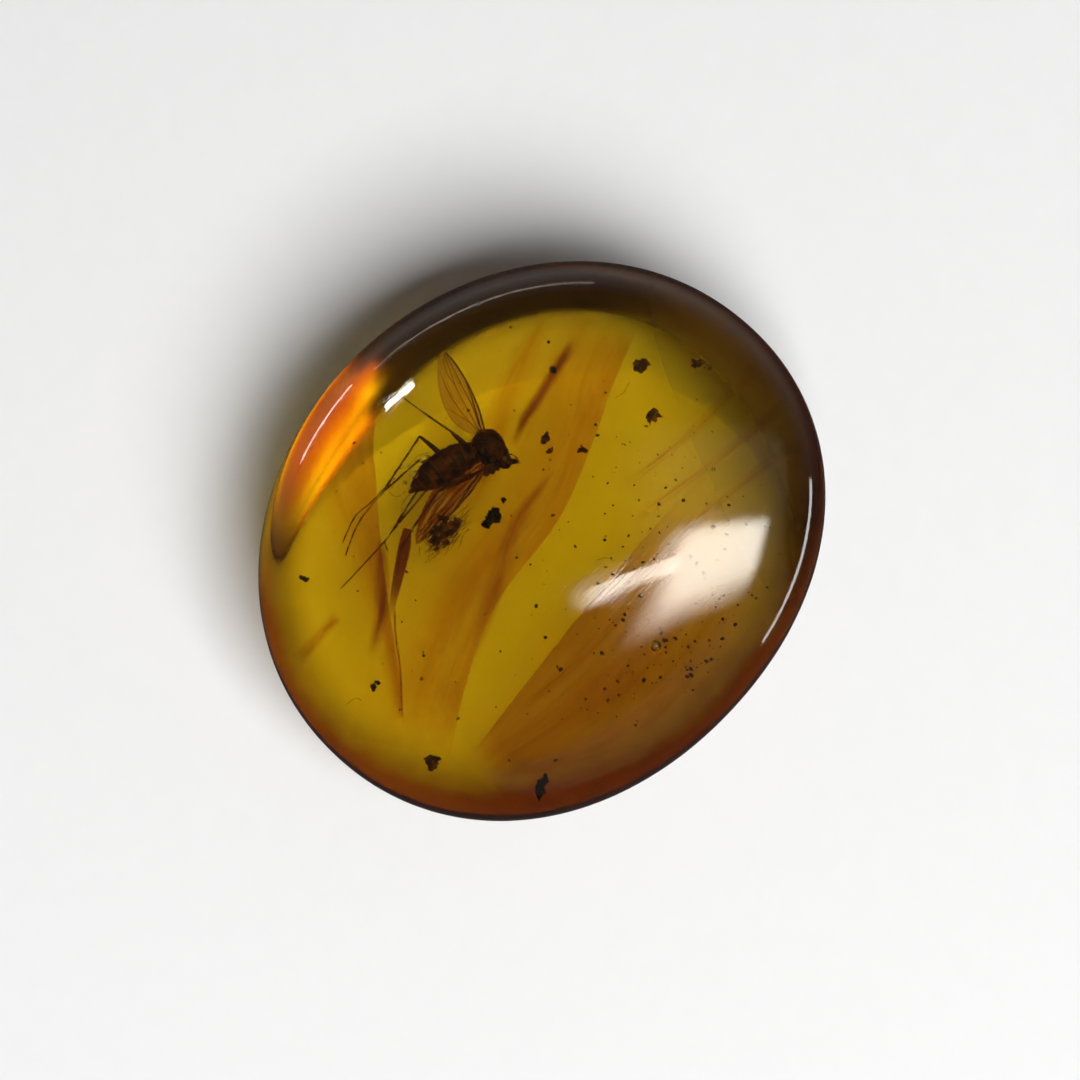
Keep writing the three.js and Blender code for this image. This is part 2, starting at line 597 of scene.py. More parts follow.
def make_head(skin):
    shape = Shape()
    centre = on_fly(0.22, -0.66)
    add_ball(shape, centre, FLY_AXES, (0.28, 0.33, 0.3), 20, 30)
    # snout, two feelers by the mouth and the two antennae
    mouth = centre + (FORWARD * 0.2 - DORSAL * 0.16) * MM
    lips = mouth + (FORWARD * 0.2 - DORSAL * 0.14) * MM
    add_tube(shape, [centre, mouth, lips], [0.16, 0.12, 0.05], sides=12)
    for side in (-1, 1):
        palp_root = mouth + LATERAL * (0.07 * side * MM)
        palp_knee = palp_root + (FORWARD * 0.16 - DORSAL * 0.02) * MM
        palp_tip = palp_knee + (-DORSAL * 0.18 + FORWARD * 0.03) * MM
        add_tube(shape, [palp_root, palp_knee, palp_tip], [0.03, 0.028, 0.018], sides=7)
        root = centre + (FORWARD * 0.26 + DORSAL * 0.1 + LATERAL * 0.06 * side) * MM
        add_antenna(shape, root, side)
    make_piece("fly_head", shape, skin)
    eyes = Shape()
    for side in (-1, 1):
        eye = centre + (LATERAL * 0.13 * side + FORWARD * 0.03 + DORSAL * 0.04) * MM
        add_ball(eyes, eye, FLY_AXES, (0.2, 0.25, 0.2), 20, 30)
    make_piece("fly_eyes", eyes, eye_material())


ANTENNA_JOINTS = 14


def add_antenna(shape, root, side):
    """A string of small bead-like joints, bent down in front of the face."""
    place = root
    direction = (FORWARD * 0.7 - DORSAL * 0.35 + LATERAL * 0.3 * side).normalized()
    for joint in range(ANTENNA_JOINTS):
        size = 0.026 * (1 - 0.5 * joint / ANTENNA_JOINTS)
        end = place + direction * (0.04 * MM)
        add_tube(shape, [place, (place + end) / 2, end], [size * 0.6, size, size * 0.6], sides=6, steps=2)
        place = end
        direction = (direction - DORSAL * 0.11 - FORWARD * 0.07).normalized()


FLANK_PLATES = (
    # (forward, dorsal, half its length, half its height)
    (-0.28, 0.02, 0.22, 0.26),
    (0.12, -0.22, 0.24, 0.3),
    (-0.2, -0.34, 0.2, 0.2),
)


def make_thorax(skin):
    shape = Shape()

    def humped(unit):
        back = max(unit.y, 0) ** 2
        groove = 0.03 * math.cos(9 * unit.x) * (1 - abs(unit.z))
        return 1 + 0.07 * back + groove + 0.03 * noise.noise(unit * 4)

    middle = on_fly(0, 0)
    add_ball(shape, middle, FLY_AXES, (0.6, 0.66, 0.45), 36, 48, humped)
    # the shield behind the hump, the collar at the neck and the plates along the flank
    add_ball(shape, on_fly(-0.44, 0.36), FLY_AXES, (0.22, 0.14, 0.24), 14, 20)
    add_ball(shape, on_fly(0.34, -0.36), FLY_AXES, (0.22, 0.26, 0.24), 14, 20)
    for side in (-1, 1):
        for forward, dorsal, long, tall in FLANK_PLATES:
            place = on_fly(forward, dorsal, 0.3 * side)
            add_ball(shape, place, FLY_AXES, (long, tall, 0.17), 14, 20)
    make_piece("fly_thorax", shape, skin)


# From the waist to the tip: the abdomen's middle line, and half its height and width on it
ABDOMEN_SPINE = (
    (-2.2, 2.76, 4.5), (-2.6, 2.65, 4.52), (-3.1, 2.43, 4.5),
    (-3.6, 2.12, 4.45), (-4.06, 1.75, 4.4), (-4.48, 1.42, 4.36),
)
ABDOMEN_TALL = (0.36, 0.5, 0.57, 0.55, 0.42, 0.14)
ABDOMEN_WIDE = (0.32, 0.4, 0.46, 0.44, 0.34, 0.12)
ABDOMEN_RINGS = 8


def make_abdomen(skin):
    """Eight overlapping rings: each swells a little towards its hind rim and then steps in."""
    steps = 16
    spine = smooth_path([spot(*p) for p in ABDOMEN_SPINE], steps)
    tall = smooth_path(list(ABDOMEN_TALL), steps)
    wide = smooth_path(list(ABDOMEN_WIDE), steps)
    for i in range(len(spine)):
        ring = ABDOMEN_RINGS * i / (len(spine) - 1)
        swell = 1 + 0.07 * (ring % 1.0) - 0.035
        tall[i] *= swell
        wide[i] *= swell
    shape = Shape()
    add_tube(shape, spine, wide, tall, sides=48, upright=DORSAL, steps=1)
    for point in shape.points:
        crumple = noise.noise(point * 2600) + 0.5 * noise.noise(point * 6000)
        point += (DORSAL * crumple + LATERAL * noise.noise(point * 3100)) * (0.045 * MM)
    # the claspers at the tip
    for side in (-1, 1):
        root = spot(-4.44, 1.44, 4.37) + LATERAL * (0.06 * side * MM)
        tip = root + (-FORWARD * 0.22 - DORSAL * 0.06 + LATERAL * 0.03 * side) * MM
        add_tube(shape, [root, (root + tip) / 2, tip], [0.06, 0.07, 0.03], sides=9)
    make_piece("fly_abdomen", shape, skin)
    return spine, tall, wide


def make_hairs(abdomen, skin):
    """The fly's coat of short stiff hairs, on the thorax and along the abdomen."""
    draw = random.Random(5)
    shape = Shape()
    for _ in range(170):
        unit = Vector((draw.gauss(0, 1), abs(draw.gauss(0, 1)), draw.gauss(0, 1))).normalized()
        root = on_fly(0.57 * unit.x, 0.66 * unit.y, 0.44 * unit.z)
        out = (FORWARD * unit.x + DORSAL * unit.y + LATERAL * unit.z).normalized()
        lean = (out - FORWARD * 0.9).normalized()
        add_bristle(shape, root, lean, draw.uniform(0.1, 0.22), 0.006, -FORWARD)
    spine, tall, wide = abdomen
    for _ in range(260):
        i = draw.randrange(6, len(spine) - 4)
        turn = draw.uniform(0, 2 * math.pi)
        out = (DORSAL * math.sin(turn) + LATERAL * math.cos(turn)).normalized()
        offset = DORSAL * (math.sin(turn) * tall[i]) + LATERAL * (math.cos(turn) * wide[i])
        back = (spine[min(i + 3, len(spine) - 1)] - spine[i]).normalized()
        root = spine[i] + offset * (0.97 * MM)
        add_bristle(shape, root, (out * 0.5 + back).normalized(), draw.uniform(0.08, 0.17), 0.005, back)
    make_piece("fly_hairs", shape, skin)


def add_leg(shape, hip, knee, ankle, foot, draw, thickness=1.0):
    """One leg: a thick thigh, a slim shank with two spurs, and a foot of five joints with claws."""
    hip, knee, ankle = spot(*hip), spot(*knee), spot(*ankle)
    thigh = [0.05, 0.095, 0.09, 0.045]
    bow = along(0, 0, 0.04) * MM
    thigh_path = [hip, hip.lerp(knee, 0.35) + bow, hip.lerp(knee, 0.7) + bow, knee]
    add_tube(shape, thigh_path, [w * thickness for w in thigh], sides=12)
    shank_path = [knee, knee.lerp(ankle, 0.3), knee.lerp(ankle, 0.75), ankle]
    add_tube(shape, shank_path, [0.036 * thickness, 0.034, 0.036, 0.044], sides=10)
    direction = (ankle - knee).normalized()
    for turn in (0.5, -0.5):
        spur = (Quaternion(UP, turn * 0.7) @ direction + UP * (0.15 * turn)).normalized()
        add_bristle(shape, ankle, spur, 0.26, 0.013, direction)
    toes = smooth_path([ankle] + [spot(*p) for p in foot], 10)
    shares = [i / (len(toes) - 1) for i in range(len(toes))]
    widths = [0.018 + 0.007 * math.sin(math.pi * ((5 * share) % 1.0)) for share in shares]
    add_tube(shape, toes, widths, sides=8, steps=1)
    end = (toes[-1] - toes[-2]).normalized()
    for turn in (0.6, -0.6):
        add_bristle(shape, toes[-1], Quaternion(UP, turn) @ end, 0.07, 0.008, -UP)
    add_leg_hairs(shape, knee, ankle, draw)


def add_leg_hairs(shape, knee, ankle, draw):
    direction = (ankle - knee).normalized()
    crosswise = direction.orthogonal().normalized()
    length = (ankle - knee).length / MM
    for _ in range(int(14 * length)):
        around = Quaternion(direction, draw.uniform(0, 2 * math.pi)) @ crosswise
        root = knee.lerp(ankle, draw.uniform(0.05, 0.98)) + around * (0.03 * MM)
        lean = (around + direction * 1.6).normalized()
        add_bristle(shape, root, lean, draw.uniform(0.06, 0.11), 0.0045, direction)


# Each leg: where it leaves the body, its knee, its ankle and the way its foot lies.
LEGS = (
    (
        (-2.3, 2.75, 4.2), (-3.14, 3.5, 4.7), (-3.95, 4.06, 4.85),
        ((-4.4, 4.4, 4.9), (-4.85, 4.74, 4.95)),
    ),
    (
        (-2.9, 2.2, 4.3), (-4.23, 3.32, 4.7), (-5.38, 1.52, 4.5),
        ((-5.9, 0.95, 4.4), (-6.45, 0.45, 4.3), (-6.85, -0.45, 4.2)),
    ),
    (
        (-3.1, 2.05, 4.1), (-4.25, 2.5, 4.3), (-5.42, 1.42, 4.2),
        ((-5.95, 0.8, 4.1), (-6.4, 0.1, 4.05), (-6.74, -0.88, 4.0)),
    ),
    (
        (-2.5, 2.0, 4.0), (-4.2, 1.6, 4.1), (-4.99, 0.29, 4.0),
        ((-5.25, -0.15, 4.0), (-5.42, -0.4, 3.95), (-5.33, -0.7, 3.9)),
    ),
    (
        (-2.3, 2.1, 3.9), (-3.95, 1.5, 3.9), (-4.95, 0.3, 3.85),
        ((-5.3, -0.2, 3.8), (-5.75, -0.75, 3.75), (-6.85, -1.98, 3.7)),
    ),
    (
        (-2.0, 2.25, 3.8), (-3.6, 1.45, 3.7), (-4.4, 0.22, 3.65),
        ((-4.62, -0.18, 3.6), (-4.85, -0.55, 3.6)),
    ),
)


def make_legs(skin):
    draw = random.Random(8)
    shape = Shape()
    for hip, knee, ankle, foot in LEGS:
        add_leg(shape, hip, knee, ankle, foot, draw)
    for forward, dorsal in ((0.14, -0.5), (-0.08, -0.52), (-0.3, -0.48)):
        root = on_fly(forward, dorsal)
        tip = on_fly(forward - 0.32, dorsal - 0.36)
        add_tube(shape, [root, root.lerp(tip, 0.5), tip], [0.13, 0.14, 0.07], sides=12)
    make_piece("fly_legs", shape, skin)


WING_VEINS = (
    # (thickness, points as (share of the length, share of the chord from the front edge))
    (0.03, ((0.0, 0.3), (0.08, 0.03), (0.3, 0.0), (0.6, 0.0), (0.85, 0.0), (0.97, 0.12))),
    (0.024, ((0.02, 0.35), (0.15, 0.16), (0.35, 0.1), (0.58, 0.02))),
    (0.015, ((0.1, 0.24), (0.28, 0.17), (0.5, 0.2), (0.75, 0.2), (0.95, 0.14))),
    (0.011, ((0.05, 0.42), (0.25, 0.34), (0.45, 0.38), (0.6, 0.4), (0.8, 0.36), (0.97, 0.36))),
    (0.01, ((0.6, 0.4), (0.75, 0.55), (0.93, 0.62))),
    (0.011, ((0.03, 0.5), (0.16, 0.5), (0.35, 0.6), (0.6, 0.72), (0.82, 0.88))),
    (0.01, ((0.16, 0.5), (0.28, 0.7), (0.42, 0.97))),
)


class Wing:
    """A fly's wing: a flat lobe whose front edge is nearly straight, set by its base, its tip, a
    way across to the hind edge and its breadth. `sag` lifts it towards the tip and `curl` towards
    the hind edge."""

    def __init__(self, base, tip, hind, breadth, sag, curl=0.0):
        self.base = spot(*base)
        self.reach = spot(*tip) - self.base
        self.length = self.reach.length / MM
        out = self.reach.normalized()
        self.hind = (hind - out * hind.dot(out)).normalized()
        self.over = out.cross(self.hind)
        if self.over.z < 0:
            self.over = -self.over
        self.breadth, self.sag, self.curl = breadth, sag, curl

    def edges(self, share):
        front = -0.24 * self.breadth * math.sin(math.pi * share) ** 0.7
        back = 0.9 * self.breadth * max(math.sin(math.pi * share**0.75), 0) ** 0.6
        return front, back

    def at(self, share, chord):
        front, back = self.edges(min(max(share, 0.0), 1.0))
        side = front + (back - front) * chord
        rise = self.sag * share**2 + self.curl * chord**2 * math.sin(math.pi * share)
        rise += 0.025 * math.sin(12 * chord) * math.sin(math.pi * share)
        return self.base + self.reach * share + (self.hind * side + self.over * rise) * MM


def add_membrane(shape, wing, rows=56, columns=20, thickness=0.008):
    """The wing's film, from its root to its tip."""
    grid, marks = [], []
    for i in range(rows + 1):
        share = 0.5 - 0.5 * math.cos(math.pi * i / rows)
        grid.append([wing.at(share, k / columns) for k in range(columns + 1)])
        marks.append([(k / columns, share) for k in range(columns + 1)])
    add_film(shape, grid, marks, wing.over * (thickness / 2 * MM))


def add_veins(shape, wing):
    for thickness, points in WING_VEINS:
        path = [wing.at(share, chord) for share, chord in points]
        add_tube(shape, path, [thickness] * (len(points) - 1) + [thickness * 0.5], sides=6, steps=8)


def film_material(name, tint, haze, haze_share, streaks, fade, body=0.35, spread=0.16):
    """A thin see-through film: it tints what lies behind it and scatters a little light. `streaks`
    is how much finer its pattern is across than along, `body` its least strength, and `fade` says
    how it ends at its rims."""
    n = new_material(name)
    across, lengthwise, _ = n.split(n.place("UV"))
    broad = n.noise(n.place("UV", (streaks, 1.3, 1)), 1.7, 4.0, 0.5, 0.5)
    fine = n.noise(n.place("UV", (streaks * 4, 2.6, 1)), 2.0, 5.0, 0.6, 0.3)
    grain = n.math("ADD", n.math("MULTIPLY", broad, 0.75), n.math("MULTIPLY", fine, 0.25))
    pattern = n.step(grain, 0.5 - spread, 0.5 + spread, body, 1.0)
    for value, low, high in fade(across, lengthwise):
        pattern = n.math("MULTIPLY", pattern, n.step(value, low, high))
    clear = n.new("ShaderNodeBsdfTransparent")
    n.put(clear.inputs["Color"], n.mix(pattern, (1.0, 1.0, 1.0), tint))
    n.set(Base_Color=haze, Roughness=0.6)
    blend = n.new("ShaderNodeMixShader")
    n.put(blend.inputs[0], n.math("MULTIPLY", pattern, haze_share))
    n.put(blend.inputs[1], clear.outputs[0])
    n.put(blend.inputs[2], n.shader.outputs[0])
    n.put(n.output.inputs["Surface"], blend.outputs[0])
    return n.owner


def no_fade(across, lengthwise):
    return ()


def make_wings(skin):
    raised = Wing((-1.95, 3.42, 4.85), (-3.4, 6.45, 5.1), along(-0.91, -0.41, 0.1), 1.0, 0.12)
    folded = Wing((-1.8, 2.4, 4.25), (-4.35, -0.45, 3.75), along(-0.75, 0.55, -0.35), 0.95, -0.1, 0.25)
    clear = film_material(
        "wing_clear", tint=(0.88, 0.76, 0.55), haze=(0.3, 0.15, 0.05), haze_share=0.16,
        streaks=5.0, fade=no_fade, body=0.75,
    )
    brown = film_material(
        "wing_brown", tint=(0.72, 0.42, 0.2), haze=(0.2, 0.07, 0.02), haze_share=0.2,
        streaks=6.0, fade=no_fade, body=0.2, spread=0.1,
    )
    veins = Shape()
    films = (("fly_wing_raised", raised, clear), ("fly_wing_folded", folded, brown))
    for name, wing, material in films:
        shape = Shape()
        add_membrane(shape, wing)
        make_piece(name, shape, material)
        add_veins(veins, wing)
    # the two halteres, the small knobs behind the wings
    for side in (-1, 1):
        root = on_fly(-0.5, 0.1, 0.3 * side)
        tip = on_fly(-0.72, 0.22, 0.42 * side)
        add_tube(veins, [root, root.lerp(tip, 0.6), tip], [0.02, 0.02, 0.05], sides=8)
    make_piece("fly_wing_veins", veins, skin)


def make_fly():
    dark = cuticle_material("fly_cuticle", (0.008, 0.0015, 0.001), (0.06, 0.012, 0.005))
    ringed = cuticle_material(
        "fly_abdomen_cuticle", (0.01, 0.002, 0.001), (0.07, 0.017, 0.006), banded=True
    )
    leggy = cuticle_material("fly_leg_cuticle", (0.03, 0.008, 0.003), (0.09, 0.028, 0.01))
    make_head(dark)
    make_thorax(dark)
    abdomen = make_abdomen(ringed)
    make_hairs(abdomen, leggy)
    make_legs(leggy)
    make_wings(leggy)


# ---------------------------------------------------------------- flow layers


def keep_inside(point, margin):
    """The point, moved in level with itself until it is `margin` millimetres from the outline."""
    flat = point - UNDER_MIDDLE
    reach = (plan_radius(math.atan2(flat.y, flat.x)) - margin) * MM
    share = min(1.0, reach / max(math.hypot(flat.x, flat.y), 1e-9))
    return UNDER_MIDDLE + Vector((flat.x * share, flat.y * share, flat.z))


def add_ribbon(shape, spine, left, right, tilt, wave, rows=90, columns=30):
    """A thin curved sheet along a line that comes towards the viewer: `left` and `right` are its
    reach to the viewer's two sides, `tilt` how far its right side hangs down, and `wave` its
    unevenness."""
    steps = max(rows // (len(spine) - 1), 1)
    path = smooth_path([spot(*p) for p in spine], steps)
    left = smooth_path([float(v) for v in left], steps)
    right = smooth_path([float(v) for v in right], steps)
    grid, marks = [], []
    for i, ((side, over), centre) in enumerate(zip(ring_frames(path, UP), path)):
        slant = -side * math.cos(tilt) - over * math.sin(tilt)
        rise = over * math.cos(tilt) - side * math.sin(tilt)
        row = []
        for k in range(columns + 1):
            reach = -left[i] + (left[i] + right[i]) * k / columns
            flat = centre + slant * (reach * MM)
            swell = noise.noise(flat * 420) + 0.5 * noise.noise(flat * 1100)
            row.append(keep_inside(flat + rise * (wave * swell * MM), 0.75))
        grid.append(row)
        marks.append([(k / columns, i / (len(path) - 1)) for k in range(columns + 1)])
    add_film(shape, grid, marks, UP * (0.006 * MM))


# How a sheet ends at its four rims: for each, the share of the width or length where it is
# nothing and the share where it is full.
def crisp_right(across, lengthwise):
    return (
        (across, 0.0, 0.9), (across, 1.0, 0.985),
        (lengthwise, 0.0, 0.1), (lengthwise, 1.0, 0.85),
    )


def crisp_left(across, lengthwise):
    return (
        (across, 0.0, 0.012), (across, 1.0, 0.6),
        (lengthwise, 0.12, 0.6), (lengthwise, 1.0, 0.9),
    )


def strip_ends(across, lengthwise):
    return (
        (across, 0.0, 0.15), (across, 1.0, 0.85),
        (lengthwise, 0.0, 0.04), (lengthwise, 1.0, 0.4),
    )


def soft(across, lengthwise):
    return (
        (across, 0.0, 0.5), (across, 1.0, 0.5),
        (lengthwise, 0.0, 0.2), (lengthwise, 1.0, 0.75),
    )


# The lines that the sheets follow, from the far side of the stone to the near one
MAIN_SEAM = (
    (3.5, 7.4, 4.2), (2.5, 5.0, 4.2), (2.1, 3.8, 4.1), (0.75, 0.5, 3.9),
    (-1.4, -2.45, 3.7), (-2.5, -5.2, 3.5), (-3.1, -7.8, 3.5),
)
CORE_SEAM = (
    (0.6, 2.4, 3.6), (-0.5, 0.9, 3.6), (-1.15, -0.7, 3.6),
    (-1.7, -2.4, 3.5), (-2.3, -4.4, 3.4),
)
HEAD_SEAM = ((1.3, 7.0, 4.5), (0.75, 6.0, 4.5), (0.1, 4.9, 4.5), (-0.5, 4.0, 4.4), (-0.95, 3.0, 4.3))
TOP_SEAM = ((0.3, 7.9, 4.2), (-0.5, 6.3, 4.2), (-1.3, 4.4, 4.0), (-1.9, 2.2, 3.6), (-2.9, 0.2, 3.3))
LEFT_SEAM = (
    (-5.5, 5.0, 4.3), (-5.77, 3.35, 4.2), (-5.7, 1.7, 4.1), (-5.6, 0.0, 3.9),
    (-5.3, -2.4, 3.7), (-4.76, -5.5, 3.5), (-4.67, -6.6, 3.4),
)
VEIL_SEAM = ((7.6, 3.6, 4.6), (5.0, 1.2, 4.5), (2.3, -1.9, 4.2), (-0.2, -5.0, 3.9), (-2.5, -7.9, 3.7))
STREAK_SEAMS = (
    ((8.6, 4.6, 4.7), (6.9, 3.1, 4.6), (5.0, 1.6, 4.5), (3.2, 0.2, 4.4)),
    ((8.9, 3.2, 4.7), (7.3, 1.9, 4.6), (5.6, 0.4, 4.5), (4.2, -1.1, 4.4)),
    ((7.6, 5.9, 4.7), (6.0, 4.2, 4.6), (4.4, 2.7, 4.4), (3.0, 1.6, 4.3)),
    ((3.4, -2.6, 4.4), (2.0, -4.0, 4.2), (0.6, -5.3, 4.1), (-0.8, -6.4, 4.0)),
)
LOW_SEAM = ((-6.9, -2.9, 3.6), (-7.5, -3.6, 3.5), (-8.1, -4.3, 3.5))
LEAF = (
    (-4.65, 0.15, 3.6), (-4.75, -0.6, 3.6), (-4.95, -1.6, 3.5),
    (-5.12, -2.6, 3.5), (-5.1, -3.2, 3.5),
)
LEAF_STALK = ((-5.05, -2.7, 3.5), (-5.02, -3.6, 3.5), (-4.82, -4.9, 3.4), (-4.68, -6.6, 3.4))
STAIN = ((-5.5, -0.2, 3.8), (-5.45, -1.5, 3.8), (-5.5, -2.9, 3.7), (-5.8, -4.4, 3.6))
BELLY = ((-1.6, 2.3, 4.2), (-2.5, 1.7, 4.1), (-3.3, 0.8, 4.0), (-4.4, -0.2, 3.8))

YELLOW_BROWN = (0.86, 0.62, 0.4)
BROWN = (0.7, 0.42, 0.22)
RUST = (0.42, 0.13, 0.05)
FILM_HAZE = (0.3, 0.12, 0.03)


def add_sheet(name, spine, left, right, tilt, wave, tint, haze_share, streaks, fade, body=0.35):
    """One seam between two flows of resin, or a smear of decay, as a tinted sheet. Light crosses
    its two skins, so each has half of its tint and haze."""
    shape = Shape()
    add_ribbon(shape, spine, left, right, math.radians(tilt), wave)
    skin_tint = tuple(math.sqrt(c) for c in tint)
    material = film_material(name, skin_tint, FILM_HAZE, haze_share / 2, streaks, fade, body)
    make_piece(name, shape, material)


def make_flow_layers():
    """The broad seams between the flows of resin, and the finer ones within them."""
    add_sheet(
        "flow_main", MAIN_SEAM, (3.4,) * 7, (0.0,) * 7, tilt=8, wave=0.25,
        tint=(0.8, 0.52, 0.3), haze_share=0.05, streaks=2.2, fade=crisp_right, body=0.45,
    )
    add_sheet(
        "flow_core", CORE_SEAM, (0.1, 0.3, 0.45, 0.5, 0.2), (0.1, 0.3, 0.35, 0.4, 0.2),
        tilt=12, wave=0.1, tint=(0.6, 0.32, 0.14), haze_share=0.08, streaks=1.6, fade=soft, body=0.5,
    )
    add_sheet(
        "flow_head", HEAD_SEAM, (0.22, 0.38, 0.38, 0.32, 0.2), (0.16, 0.28, 0.28, 0.24, 0.14),
        tilt=30, wave=0.05, tint=(0.36, 0.13, 0.05), haze_share=0.1, streaks=1.6, fade=soft, body=0.85,
    )
    add_sheet(
        "flow_top", TOP_SEAM, (0.4, 0.6, 0.7, 0.8, 0.4), (0.4, 0.6, 0.6, 0.6, 0.4),
        tilt=14, wave=0.2, tint=YELLOW_BROWN, haze_share=0.05, streaks=2.0, fade=soft, body=0.4,
    )
    add_sheet(
        "flow_left", LEFT_SEAM, (2.6, 2.8, 2.6, 1.8, 1.0, 0.5, 0.3), (0.0,) * 7, tilt=6, wave=0.15,
        tint=(0.7, 0.42, 0.22), haze_share=0.05, streaks=1.6, fade=crisp_right, body=0.6,
    )
    add_sheet(
        "flow_veil", VEIL_SEAM, (0.0,) * 5, (1.5, 5.0, 5.8, 4.8, 1.5), tilt=4, wave=0.2,
        tint=(0.76, 0.5, 0.36), haze_share=0.26, streaks=3.0, fade=crisp_left, body=0.6,
    )
    for index, seam in enumerate(STREAK_SEAMS):
        add_sheet(
            f"flow_thread_{index + 1}", seam, (0.25,) * 4, (0.25,) * 4, tilt=10, wave=0.05,
            tint=(0.86, 0.68, 0.45), haze_share=0.08, streaks=3.0, fade=soft, body=0.2,
        )
    add_sheet(
        "flow_low", LOW_SEAM, (0.3,) * 3, (0.3,) * 3, tilt=30, wave=0.05,
        tint=BROWN, haze_share=0.1, streaks=1.4, fade=soft, body=0.5,
    )


def make_smears():
    """The red leaf-like scrap on its stalk, and the brown smears of decay beside it and by the
    fly's belly."""
    add_sheet(
        "leaf_red", LEAF, (0.16, 0.26, 0.22, 0.14, 0.05), (0.16, 0.24, 0.2, 0.12, 0.05),
        tilt=15, wave=0.05, tint=(0.2, 0.04, 0.015), haze_share=0.04, streaks=2.2,
        fade=strip_ends, body=0.85,
    )
    add_sheet(
        "leaf_stalk", LEAF_STALK, (0.05,) * 4, (0.06,) * 4, tilt=15, wave=0.03,
        tint=RUST, haze_share=0.3, streaks=0.8, fade=soft, body=0.9,
    )
    add_sheet(
        "stain_left", STAIN, (0.3, 0.4, 0.35, 0.2), (0.2, 0.3, 0.3, 0.2), tilt=20, wave=0.06,
        tint=(0.4, 0.15, 0.05), haze_share=0.1, streaks=2.4, fade=soft, body=0.45,
    )
    add_sheet(
        "stain_belly", BELLY, (0.15, 0.35, 0.45, 0.2), (0.15, 0.3, 0.4, 0.2), tilt=20, wave=0.06,
        tint=(0.75, 0.4, 0.16), haze_share=0.1, streaks=2.0, fade=soft, body=0.3,
    )


# ---------------------------------------------------------------- scraps, specks and threads


def scrap_material(name, dark, light, roughness):
    """Dull plant or soil matter in two patchy shades."""
    n = new_material(name)
    patches = n.step(n.noise(n.place("Object"), 3500.0, 5.0), 0.4, 0.65)
    n.set(
        Base_Color=n.mix(patches, dark, light),
        Roughness=roughness,
        Specular_IOR_Level=0.1,
        Normal=n.bump(n.noise(n.place("Object"), 9000.0, 3.0), 0.8, 0.02),
    )
    return n.owner


def add_crumb(shape, centre, size, seed, flat=0.7, jagged=0.45):
    """An irregular, partly angular grain."""
    draw = random.Random(seed)
    axis = Vector((draw.gauss(0, 1), draw.gauss(0, 1), draw.gauss(0, 1))).normalized()
    turn = Quaternion(axis, draw.uniform(0, 6))
    axes = tuple(turn @ way for way in (ACROSS, AWAY, UP))
    shift = Vector((seed * 1.7, seed * 0.9, seed * 2.3))

    def broken(unit):
        coarse = noise.noise(unit * 1.3 + shift)
        sharp = abs(noise.noise(unit * 3.1 + shift)) * 2
        return 1 + jagged * coarse - 0.5 * jagged * sharp

    radii = (size, size * draw.uniform(0.55, 0.9), size * flat)
    rings = 8 if size < 0.1 else 16
    add_ball(shape, centre, axes, radii, rings, rings + 4, broken)


def add_scrap(shape, across, away, height, size, count, seed, flat):
    """A fragment of a few grains grown together."""
    draw = random.Random(seed)
    for part in range(count):
        off = along(draw.gauss(0, 0.38), draw.gauss(0, 0.38), draw.gauss(0, 0.15)) * size
        grain = size * draw.uniform(0.6, 0.95)
        add_crumb(shape, spot(across, away, height) + off * MM, grain, seed * 7 + part, flat, 0.7)


# Each scrap is given by (across, away, height, size, grains).
BLACK_SCRAPS = (
    (-1.72, 0.42, 4.0, 0.3, 6),
    (-1.52, 0.62, 4.0, 0.2, 3),
    (-1.36, 1.1, 4.0, 0.12, 3),
    (-8.1, -1.72, 4.1, 0.16, 4),
    (3.75, 3.75, 4.6, 0.08, 2),
    (3.0, 3.1, 4.4, 0.07, 2),
    (-0.1, -8.7, 3.8, 0.17, 5),
    (0.1, -8.45, 3.8, 0.12, 3),
    (0.45, -7.95, 3.9, 0.07, 2),
    (-5.72, -5.5, 3.8, 0.13, 3),
    (-5.62, -5.3, 3.8, 0.13, 2),
    (0.52, 5.83, 4.6, 0.16, 4),
    (0.15, 2.2, 4.2, 0.06, 2),
    (0.45, 0.5, 4.2, 0.08, 2),
)
BROWN_SCRAPS = (
    (3.55, 6.0, 4.6, 0.26, 7),
    (4.0, 4.06, 4.6, 0.22, 6),
    (5.5, 6.1, 4.4, 0.2, 6),
    (5.9, 5.9, 4.4, 0.1, 3),
    (0.19, 3.3, 4.0, 0.22, 6),
    (0.4, 2.95, 4.0, 0.14, 4),
    (1.5, 3.0, 3.8, 0.16, 5),
    (-3.7, -7.9, 3.6, 0.22, 7),
    (-4.1, -4.43, 4.0, 0.09, 3),
    (-4.13, -5.3, 4.0, 0.08, 3),
    (-2.85, -6.6, 3.8, 0.07, 2),
)


def make_scraps(name, scraps, first_seed, flat, material):
    shape = Shape()
    for index, (across, away, height, size, count) in enumerate(scraps):
        add_scrap(shape, across, away, height, size, count, first_seed + index, flat)
    make_piece(name, shape, material, smooth=False)


def make_all_scraps():
    black = scrap_material("scrap_black", (0.004, 0.004, 0.002), (0.02, 0.014, 0.006), 0.6)
    make_scraps("scraps_black", BLACK_SCRAPS, 100, 0.7, black)
    brown = scrap_material("scrap_brown", (0.04, 0.018, 0.004), (0.13, 0.06, 0.014), 0.8)
    make_scraps("scraps_brown", BROWN_SCRAPS, 300, 0.3, brown)


